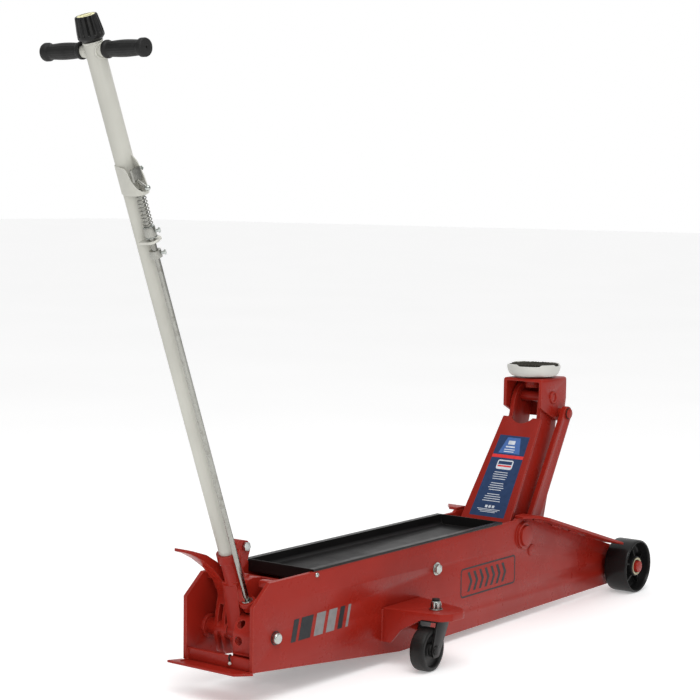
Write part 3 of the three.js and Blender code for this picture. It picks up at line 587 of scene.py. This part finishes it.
def add_trigger():
    """Ball on the end of the lever, the scoop round it, and the pin the lever turns on."""
    arc = [(5.2 * sin(a), 5.2 - 5.2 * cos(a)) for a in (pi * k / 20 for k in range(1, 20))]
    ball = lathe([(0, 0)] + arc + [(0, 10.4)], 40)
    spot = Matrix.Translation((8, -52, 884.8))
    piece("trigger_ball", placed(ball, spot), HANDLE, ZINC, "trigger")
    add_trigger_housing()
    pin = merged(lathe([(0, 12), (1.9, 12), (1.9, 25), (0, 25)], 20),
                 lathe([(0, 24.6), (3.6, 24.6), (3.9, 25.2), (3.2, 26.4), (0, 26.9)], 24))
    turn = Matrix.Translation((0, *TRIGGER_PIN)) @ Matrix.Rotation(pi / 2, 4, "Y")
    piece("trigger_pin", placed(pin, turn), HANDLE, ZINC, "handle")


def add_trigger_housing():
    """Folded scoop round the trigger, open at the top."""
    bend = [(7.4, 12.4, 931), (3.4, 4, 930), (-0.5, -9.5, 928), (-1.6, -16, 927), (-1.9, -21, 921),
            (-1.8, -27, 904),
            (-0.6, -34, 891), (3, -40.5, 885), (9, -44.2, 882.5), (15, -44.4, 884), (20.4, -41.6, 892),
            (22.6, -37.5, 908), (23.4, -33, 922), (24.2, -28, 934), (25.2, -22, 941), (26.4, -17.4, 943)]
    bottom = SPRING_Z[1]
    thickness = 2.0
    bm = bmesh.new()
    ribs = []
    for index, (x, y, top) in enumerate(bend):
        before = bend[max(index - 1, 0)]
        after = bend[min(index + 1, len(bend) - 1)]
        along = Vector((after[0] - before[0], after[1] - before[1], 0)).normalized()
        inward = Vector((-along.y, along.x, 0)) * thickness
        outer = Vector((x, y, 0))
        ribs.append([bm.verts.new(outer + Vector((0, 0, bottom))), bm.verts.new(outer + Vector((0, 0, top))),
                     bm.verts.new(outer + inward + Vector((0, 0, top))),
                     bm.verts.new(outer + inward + Vector((0, 0, bottom)))])
    for low, high in zip(ribs, ribs[1:]):
        for i in range(4):
            j = (i + 1) % 4
            bm.faces.new((low[i], low[j], high[j], high[i]))
    bm.faces.new(ribs[0][::-1])
    bm.faces.new(ribs[-1])
    bmesh.ops.recalc_face_normals(bm, faces=bm.faces)
    piece("trigger_scoop", bm, HANDLE, CREAM, "handle", 0.35, ["trigger_housing"], 22)


# ---- saddle ---------------------------------------------------------------------------------
SADDLE_BASE = 47.6  # underside of the cup, above the head pin
TEETH_HEIGHT = 29  # top of the four teeth, above the cup's underside
RIM_HEIGHT = 25.2  # rim between the teeth
STUD_PITCH = 7.4
STUD_REACH = 53.5  # the studs stop this far from the saddle's axis
LINK_OFFSET = (33.5, -38.5)  # from the head pin to the link pins, in X and Z


def add_saddle():
    base = SADDLE_BASE
    profile = [(0, base), (42, base), (47, base + 0.6), (52.4, base + 2.6), (56.6, base + 6.4),
               (59.4, base + 11.4),
               (61.0, base + 17), (61.8, base + 23), (61.8, base + 24.6), (61.0, base + 25.2),
               (59.4, base + 25.2),
               (58.6, base + 24.4), (58, base + 20), (56.8, base + 15), (53, base + 13.4), (50, base + 13),
               (0, base + 13)]
    cup = lathe(profile, 144)
    highest = base + 24
    for vert in cup.verts:
        if vert.co.z < highest:
            continue
        angle = atan2(vert.co.y, vert.co.x) - 0.35
        wave = cos(4 * (angle - pi / 4))
        vert.co.z += (TEETH_HEIGHT - RIM_HEIGHT) * min(1, max(0, (wave - 0.05) * 2.6))
    piece("saddle_cup", cup, SADDLE, GREY, "saddle", stands_for=["saddle"], sharp=45)
    # waffle pad
    pad = lathe([(0, base + 13.2), (50.6, base + 13.2), (55.4, base + 15.6), (57, base + 21.6),
                 (56, base + 23.6), (0, base + 23.8)], 96)
    studs = []
    for i in range(-8, 9):
        for j in range(-8, 9):
            x, y = i * STUD_PITCH, j * STUD_PITCH
            if hypot(x, y) > STUD_REACH:
                continue
            stud = prism(ngon(3.7, 4, pi / 4, (x, y)), base + 23.4, base + 28.6)
            for vert in stud.verts:
                if vert.co.z > base + 25:
                    vert.co.x = x + (vert.co.x - x) * 0.66
                    vert.co.y = y + (vert.co.y - y) * 0.66
            studs.append(stud)
    piece("waffle_pad", merged(pad, *studs), SADDLE, PAD, "saddle", stands_for=["saddle_pad"])
    # threaded end of the stem under the bracket's roof
    thread = [(0, 21)] + [(18.6 + 0.9 * (k % 2), 21 + 1.1 * k) for k in range(13)] + [(0, 35)]
    piece("stem_thread", lathe(thread, 56), SADDLE, RED, "saddle", sharp=25)


def add_head_details():
    for side, word in ((-1, "right"), (1, "left")):
        turn = FACE_Y if side > 0 else FACE_LESS_Y
        ring = [(9.6, 50.8), (13.8, 50.8), (14.6, 51.4), (14.2, 53.2), (12.8, 54.6), (11.2, 54.8),
                (10, 53.8), (9.6, 52.6), (9.6, 50.8)]
        piece(f"head_pin_ring_{word}", placed(lathe(ring, 48), turn), HEAD, RED, "saddle_head")
        groove = [(0, 76.6), (11.4, 76.6), (11.4, 77.3), (10.4, 77.9), (0, 77.9)]
        link_x, link_z = LINK_OFFSET
        spot = Matrix.Translation((link_x, 0, link_z))
        piece(f"link_pin_head_{word}", placed(lathe(groove, 40), spot @ turn), HEAD, RED, "saddle_head",
              0.2)
        clip = [(link_x + 12.2 * cos(a), side * 74.6, link_z + 12.2 * sin(a))
                for a in (0.5 + 0.17 * k for k in range(31))]
        piece(f"circlip_{word}", tube(clip, 0.9, 8), HEAD, BLACK, "saddle_head")


# ---- arm ------------------------------------------------------------------------------------
COVER_FALL = atan(0.0595)
COVER_BASE = 29.4  # underside of the cover plate, square above the arm pivot
COVER_FACE = 8.0  # thickness of the cover plate
COVER = ARM @ Matrix.Translation((0, 0, COVER_BASE)) @ Matrix.Rotation(COVER_FALL, 4, "Y")


def add_arm_welds():
    for side, word in ((-1, "right"), (1, "left")):
        line = [(along, side * (55.6 - 0.0402 * along), -1.6) for along in range(24, 277, 12)]
        piece(f"cover_weld_{word}", weld_bead(line, 3.1), COVER, RED, "lift_arm", sharp=80)
        ring = circle_points(0, 0, 28.6, side * 54.5, 60)
        piece(f"hub_weld_{word}", weld_bead(ring, 2.2, True), ARM, RED, "lift_arm", sharp=80)


def add_label():
    """Instruction label with abstract blocks and bars, on the cover plate."""
    low, high = 19, 226

    def layer(name, shapes, level, material):
        meshes = [prism(shape, COVER_FACE + level - 0.12, COVER_FACE + level) for shape in shapes]
        piece(name, merged(*meshes), COVER, material, "lift_arm")

    def strip(start, end, half_start, half_end):
        return [(start, -half_start), (end, -half_end), (end, half_end), (start, half_start)]

    def half(along):
        return 46 - 0.030 * (along - low)

    layer("label_ground", [strip(low, high, half(low), half(high))], 0.16, LABEL_BLUE)
    layer("label_panel", [strip(180, 221, 28, 17)], 0.24, LABEL_SKY)
    layer("label_band", [strip(168, 176, half(168), half(176))], 0.24, LABEL_RED)
    layer("label_badge", [rounded_box(12, 21, 5, (151, 0))], 0.24, LABEL_WHITE)
    layer("label_badge_top", [rounded_box(4.2, 18, 1.5, (155.6, 0))], 0.32, LABEL_BLUE)
    layer("label_badge_bar", [rounded_box(2.0, 18, 1.0, (147.4, 0))], 0.32, LABEL_RED)
    bars = [rounded_box(5, 9, 1.5, (208, 2)), rounded_box(1.8, 12, 0.8, (197, 2)),
            rounded_box(1.1, 14, 0.5, (190, 2)), rounded_box(1.1, 13, 0.5, (184.5, 2))]
    for row in range(15):
        along = 131 - 5.6 * row
        width = 16 + 12 * abs(noise.noise(Vector((row * 1.7, 3.1, 0.4))))
        if row % 5 == 4:
            continue
        bars.append(rounded_box(0.8, width, 0.4, (along, 2)))
    bars += [rounded_box(3.2, 3.2, 1.0, (44, offset)) for offset in (-9, 0, 9)]
    bars += [rounded_box(0.7, 30 - 5 * k, 0.4, (37 - 3.4 * k, 1)) for k in range(3)]
    layer("label_lines", bars, 0.26, LABEL_WHITE)


# ---- chassis --------------------------------------------------------------------------------
PLATE_AND_GAP = 8.3  # a side plate and the gap between it and the plates inside
MARK_LIFT = 0.22  # printed marks stand this far off the paint
SLANT_Z = (101, 144)
SLANT = 11  # how far a block leans over that height
NOSE_SLOPE = 0.306  # fall of the front top edge per millimetre forward
NOSE_START = (418.05, 230.0)  # a point on that edge, in X and Z of the row frame


def add_side_marks():
    """Generic workshop stripes: a framed row of chevrons, and slanted blocks."""
    rear = row_mm("side_plate_right")[0][0]
    half = row_mm("rear_cross_plate")[1][1] + PLATE_AND_GAP
    for side, word in ((-1, "right"), (1, "left")):
        upright = Matrix.Translation((rear, side * half, 0)) @ Matrix.Rotation(pi / 2, 4, "X")

        def on_face(shape):
            return placed(prism(shape, -0.1, MARK_LIFT), upright)

        def slanted(spans):
            low_z, high_z = SLANT_Z
            blocks = []
            for x, wide in spans:
                far = x + wide
                corners = [(x, low_z), (far, low_z), (far + SLANT, high_z), (x + SLANT, high_z)]
                blocks.append(on_face(corners))
            return merged(*blocks)

        frame_out = rounded_box(109, 32, 9, (795, 119))
        frame_in = rounded_box(105.5, 28.5, 6, (795, 119))
        border = bmesh.new()
        rings = [[border.verts.new((x, z, y)) for x, z in shape] for y in (-0.1, MARK_LIFT)
                 for shape in (frame_out, frame_in)]
        count = len(frame_out)
        for i in range(count):
            j = (i + 1) % count
            for a, b in ((0, 1), (1, 3), (3, 2), (2, 0)):
                border.faces.new((rings[a][i], rings[a][j], rings[b][j], rings[b][i]))
        bmesh.ops.recalc_face_normals(border, faces=border.faces)
        placed(border, upright)
        chevrons = []
        for k in range(7):
            x = 712 + 22.5 * k
            chevrons.append(on_face([(x, 98), (x + 9, 98), (x + 20, 119), (x + 9, 140), (x, 140),
                                     (x + 11, 119)]))
        piece(f"stripe_frame_{word}", merged(border, *chevrons), ROW, INK_AND_SHADOW, "base")
        dark = slanted(((110, 15), (133, 36), (254, 15)))
        piece(f"slant_blocks_{word}", dark, ROW, INK_AND_SHADOW, "base")
        grey = slanted(((180, 28), (218, 26), (280, 8)))
        piece(f"slant_blocks_pale_{word}", grey, ROW, GREY_INK, "base")


def add_chassis_welds():
    bracket_low, bracket_high = row_mm("castor_bracket_left")
    plate_y = 86.2
    shaft = pivot("handle_swing") / MM
    arm = pivot("arm_lift") / MM
    link = pivot("left_link_swing") / MM
    hump_x, hump_z = NOSE_START
    cross_low, cross_high = row_mm("rear_cross_plate")
    lip_top = row_mm("rear_lip")[1][2]
    for side, word in ((-1, "right"), (1, "left")):
        beads = []
        for x, radius in ((bracket_low[0] - 0.4, 3.4), (bracket_high[0] + 0.4, 3.0)):
            seam = [(x, side * plate_y, 50), (x, side * plate_y, bracket_high[2] - 3)]
            beads.append(weld_bead(seam, radius))
        for start in (450, 530, 610, 690):
            drop = [(start + 8 * k, side * plate_y, hump_z - NOSE_SLOPE * (start + 8 * k - hump_x))
                    for k in range(6)]
            beads.append(weld_bead(drop, 2.6))
        ring = circle_points(link.x, link.z, 11.2, side * 86.4, 40)
        beads.append(weld_bead(ring, 2.3, True))
        collar = circle_points(arm.x, arm.z, 30.4, side * 86.3, 80)
        beads.append(weld_bead(collar, 2.1, True))
        inner = side * 77.6
        beads.append(weld_bead([(cross_low[0] - 0.3, inner, cross_low[2] + 1),
                                (cross_low[0] - 0.3, inner, cross_high[2])], 2.6))
        beads.append(weld_bead([(cross_low[0] - 20 + 12 * k, inner, lip_top + 0.4) for k in range(5)], 1.8))
        piece(f"chassis_welds_{word}", merged(*beads), ROW, RED, "base", sharp=80)
    ring = circle_points(shaft.x, shaft.z, 21, 77.2, 48)
    sector_rear = row_mm("lock_sector")[0][0]
    foot = [(sector_rear - 1.5, y, cross_high[2] + 1.5) for y in range(-76, -18, 6)]
    seams = [weld_bead(ring, 2.8, True), weld_bead(foot, 2.5)]
    piece("rear_weld_seams", merged(*seams), ROW, RED, "base", sharp=80)


def add_fasteners():
    plate = row_mm("side_plate_right")
    half = 86.3
    for side, word in ((-1, "right"), (1, "left")):
        turn = FACE_Y if side > 0 else FACE_LESS_Y
        # pan-head screw of the tray
        head = lathe([(0, 0), (4.6, 0), (4.8, 0.8), (4.1, 2.2), (2.6, 3.0), (1.2, 3.1), (1.1, 2.2),
                      (0, 2.2)], 32)
        spot = Matrix.Translation((plate[0][0] + 188, side * (half + 0.3), 219))
        piece(f"tray_screw_{word}", placed(head, spot @ turn), ROW, ZINC, "base")
        # washer of the frame bolt
        low, high = row_mm(f"frame_bolt_{word}")
        centre = ((low[0] + high[0]) / 2, (low[2] + high[2]) / 2)
        washer = lathe([(6.2, 0), (13.2, 0), (13.6, 0.5), (13.4, 1.5), (6.2, 1.6), (6.2, 0)], 48)
        spot = Matrix.Translation((centre[0], side * 86.1, centre[1]))
        piece(f"frame_washer_{word}", placed(washer, spot @ turn), ROW, ZINC, "base")
        low, high = row_mm(f"pivot_bolt_{word}")
        # dark ring round the pivot bolt: painted shadow round the bolt's cap
        shadow_ring = lathe([(7, -0.2), (13.2, -0.2), (13.4, 0.2), (13, 0.6), (7, 0.6), (7, -0.2)], 48)
        spot = Matrix.Translation(((low[0] + high[0]) / 2, side * 86.3, (low[2] + high[2]) / 2))
        piece(f"pivot_shadow_ring_{word}", placed(shadow_ring, spot @ turn), ROW, INK_AND_SHADOW, "base")
        # nut, washer and pin end above each castor
        swivel = pivot(f"{word}_castor_swivel") / MM
        top = row_mm(f"castor_bracket_{word}")[1][2]
        nut = merged(
            lathe([(8, 0.3), (13.6, 0.3), (14, 0.9), (13.8, 2.4), (8, 2.7), (8, 0.3)], 48),
            prism(ngon(11.4, 6, 0.2), 2.6, 11.6),
            lathe([(7.6, 11.5), (10.4, 11.5), (10.6, 12.5), (9.8, 16.4), (8.6, 17.4), (7.6, 17.4),
                   (7.6, 11.5)], 40),
            lathe([(0, 15), (6.6, 15), (6.8, 18.8), (6.0, 20), (0, 20)], 32),
        )
        spot = Matrix.Translation((swivel.x, swivel.y, top))
        piece(f"kingpin_nut_{word}", placed(nut, spot), ROW, ZINC, f"{word}_castor_fork", 0.45)
    # small hook and its bead at the foot of the lock sector
    low, high = row_mm("rear_cross_plate")
    y = -29
    line = [(low[0] + 2, y + 1, high[2] + 2), (low[0] - 2, y + 1, high[2] + 3), (low[0] - 5, y, high[2] - 1),
            (low[0] - 4.6, y - 0.5, high[2] - 6), (low[0] - 2.6, y - 0.5, high[2] - 9)]
    piece("stop_hook", tube(line, 1.6, 10), ROW, BLACK, "base", sharp=60)
    drop = lathe([(0, 0), (2.0, 0.6), (3.1, 2.4), (2.9, 4.4), (1.4, 6.6), (0, 7.2)], 24)
    piece("hook_bead", placed(drop, Matrix.Translation((low[0] - 3.4, y - 0.5, high[2] - 16))), ROW, CREAM,
          "base")


# ---- wheels ---------------------------------------------------------------------------------
FRONT_WHEEL_Y = (96, 156)  # inner and outer face, from the jack's middle
CASTOR_HALF_WIDTH = 16


def add_front_wheels():
    axle = pivot("right_front_roll") / MM
    for side, word in ((-1, "right"), (1, "left")):
        near, far = FRONT_WHEEL_Y
        profile = [(14.6, near + 1), (25, near), (26, near + 1), (26.5, near + 15), (29, near + 17),
                   (52, near + 17), (55, near + 14),
                   (56.4, near + 1.4), (57.4, near + 0.3), (60.4, near), (62.2, near + 1.6),
                   (63, near + 4.6), (63, far - 6),
                   (62.5, far - 2.8), (61.3, far - 0.8), (60, far), (58.6, far - 0.5), (57.4, far - 2.6),
                   (56.4, far - 8),
                   (54.4, far - 24), (52.4, far - 27), (49, far - 28.4), (28, far - 28.6), (25.6, far - 27),
                   (24.6, far - 23),
                   (24.0, far - 9), (23.2, far - 6.8), (21.4, far - 6), (19.6, far - 6.4),
                   (14.6, far - 6.6), (14.6, near + 1)]
        body = lathe(profile, 128)
        ribs = []
        for fifth in range(5):
            rib = prism([(23, far - 29.5), (53.6, far - 29.5), (55.2, far - 20), (40, far - 16),
                         (24.2, far - 11)], -1.8, 1.8)
            placed(rib, Matrix.Rotation(pi / 2, 4, "X"))
            ribs.append(placed(rib, Matrix.Rotation(fifth * 2 * pi / 5 + 0.35, 4, "Z")))
        turn = FACE_Y if side > 0 else FACE_LESS_Y
        spot = Matrix.Translation((axle.x, 0, axle.z)) @ turn
        body_name = f"{word}_front_wheel"
        piece(f"front_wheel_casting_{word}", placed(merged(body, *ribs), spot), ROW, WHEEL, body_name,
              0.5,
              [f"front_wheel_{word}"], 40)
        ring = lathe([(16.2, far - 6.8), (20.8, far - 6.8), (20.9, far - 4.6), (20.2, far - 3.8),
                      (18.9, far - 3.8), (18.3, far - 4.8),
                      (16.2, far - 5.0), (16.2, far - 6.8)], 72)
        piece(f"hub_ring_{word}", placed(ring, spot), ROW, BRASS, body_name)
        end = lathe([(0, far - 2), (13.2, far - 2), (13.6, far + 0.4), (12.8, far + 1.9), (0, far + 1.95)],
                    48)
        piece(f"axle_end_{word}", placed(end, spot), ROW, RED, "base")


def add_castors():
    for word in ("right", "left"):
        hub = pivot(f"{word}_castor_roll")
        axis = Vector(JOINTS[f"{word}_castor_roll"]["axis"])
        place = local_frame(hub, axis.cross(Vector((0, 0, 1))), axis)
        half = CASTOR_HALF_WIDTH
        profile = [(6.6, -half), (12.6, -half), (13.2, -half + 0.8), (13.6, -half + 6), (15.5, -half + 7.4),
                   (31, -half + 7.6),
                   (33.4, -half + 6.4), (34.8, -half + 1), (35.8, -half), (40.2, -half),
                   (42.6, -half + 1.6), (43.7, -half + 4.6),
                   (44, -half + 8), (44, half - 8), (43.7, half - 4.6), (42.6, half - 1.6), (40.2, half),
                   (35.8, half),
                   (34.8, half - 1), (33.4, half - 6.4), (31, half - 7.6), (15.5, half - 7.4),
                   (13.6, half - 6), (13.2, half - 0.8),
                   (12.6, half), (6.6, half), (6.6, -half)]
        piece(f"castor_tread_{word}", lathe(profile, 112), place, TYRE, f"{word}_castor_wheel",
              0.3,
              [f"castor_wheel_{word}"], 50)
        caps = []
        for end in (-1, 1):
            cap = lathe([(0, 21.4), (9.6, 21.4), (10.2, 22), (9.6, 23.8), (7.4, 24.6), (0, 24.8)], 40)
            caps.append(placed(cap, Matrix.Rotation(0 if end > 0 else pi, 4, "X")))
        piece(f"castor_rivet_{word}", merged(*caps), place, BLACK, f"{word}_castor_fork")


# ---- stage ----------------------------------------------------------------------------------
def sky_nodes(tree):
    """White backdrop beyond the front left of the jack, a light ceiling and a darker room elsewhere."""
    place = tree.nodes.new("ShaderNodeTexCoord").outputs["Generated"]
    towards = tree.nodes.new("ShaderNodeVectorMath")
    towards.operation = "DOT_PRODUCT"
    tree.links.new(place, towards.inputs[0])
    towards.inputs[1].default_value = (0.797, 0.603, 0)
    height = tree.nodes.new("ShaderNodeSeparateXYZ")
    tree.links.new(place, height.inputs["Vector"])
    levels = []
    for source, low, high, dark, pale in ((towards.outputs["Value"], 0.35, 0.85, 0.34, 1.0),
                                          (height.outputs["Z"], 0.3, 0.95, 0.0, 0.95)):
        ramp = tree.nodes.new("ShaderNodeMapRange")
        for key, number in zip(("From Min", "From Max", "To Min", "To Max"), (low, high, dark, pale)):
            ramp.inputs[key].default_value = number
        tree.links.new(source, ramp.inputs["Value"])
        levels.append(ramp.outputs["Result"])
    brightest = tree.nodes.new("ShaderNodeMath")
    brightest.operation = "MAXIMUM"
    for level, socket in zip(levels, brightest.inputs):
        tree.links.new(level, socket)
    tree.links.new(brightest.outputs["Value"], tree.nodes["Background"].inputs["Strength"])
    tree.nodes["Background"].inputs["Color"].default_value = (1, 1, 1, 1)


def add_stage():
    data = bpy.data.meshes.new("floor")
    reach = 40
    data.from_pydata([(-reach, -reach, 0), (reach, -reach, 0), (reach, reach, 0), (-reach, reach, 0)], [],
                     [(0, 1, 2, 3)])
    floor = bpy.data.objects.new("floor", data)
    bpy.context.scene.collection.objects.link(floor)
    shader = Shader("floor_white")
    tone = shader.mix(shader.remap(shader.noise(0.8, 2), 0.3, 0.7, 0, 1), (0.90, 0.90, 0.90),
                      (0.93, 0.93, 0.93))
    shader.link(tone, shader.surface.inputs["Base Color"])
    shader.set(Roughness=0.9, Emission_Color=(1, 1, 1, 1), Emission_Strength=0.3)
    data.materials.append(shader.material)

    world = bpy.data.worlds.new("studio")
    world.use_nodes = True
    sky_nodes(world.node_tree)
    bpy.context.scene.world = world

    def softbox(name, place, target, size, power):
        light = bpy.data.lights.new(name, "AREA")
        light.shape = "RECTANGLE"
        light.size, light.size_y = size
        light.energy = power
        lamp = bpy.data.objects.new(name, light)
        lamp.location = place
        lamp.rotation_euler = (Vector(target) - Vector(place)).to_track_quat("-Z", "Y").to_euler()
        bpy.context.scene.collection.objects.link(lamp)

    softbox("key", (-1.4, -1.4, 3.6), (0, 0, 0.2), (2.4, 2.4), 62)
    softbox("fill", (-3.2, -3.0, 1.9), (0, 0, 0.4), (1.8, 1.2), 26)
    bpy.context.scene.view_settings.view_transform = "Standard"


CAMERA_PLACE = (-3.07984, -2.23041, 0.95019)
CAMERA_TURN = (0.6471, 0.0856, 0.012)  # yaw, dip and roll in radians
CAMERA_LENS = 94.87  # millimetres, on a 36 mm wide sensor


def add_camera():
    """Three-quarter view from behind on the right, a little above the tray."""
    yaw, dip, roll = CAMERA_TURN
    ahead = Vector((cos(yaw) * cos(dip), sin(yaw) * cos(dip), -sin(dip)))
    right = Vector((sin(yaw), -cos(yaw), 0))
    above = right.cross(ahead)
    turned_right = right * cos(roll) + above * sin(roll)
    turned_above = above * cos(roll) - right * sin(roll)
    lens = bpy.data.cameras.new("camera")
    lens.lens = CAMERA_LENS
    lens.sensor_width = 36
    camera = bpy.data.objects.new("camera", lens)
    view = Matrix((turned_right, turned_above, -ahead)).transposed().to_4x4()
    camera.matrix_world = Matrix.Translation(CAMERA_PLACE) @ view
    bpy.context.scene.collection.objects.link(camera)
    bpy.context.scene.camera = camera


add_camera()
finish_nodes()
add_grips()
add_knob()
add_handle_welds()
add_return_spring()
add_rod_hardware()
add_trigger()
add_saddle()
add_head_details()
add_arm_welds()
add_label()
add_side_marks()
add_chassis_welds()
add_fasteners()
add_front_wheels()
add_castors()
add_stage()
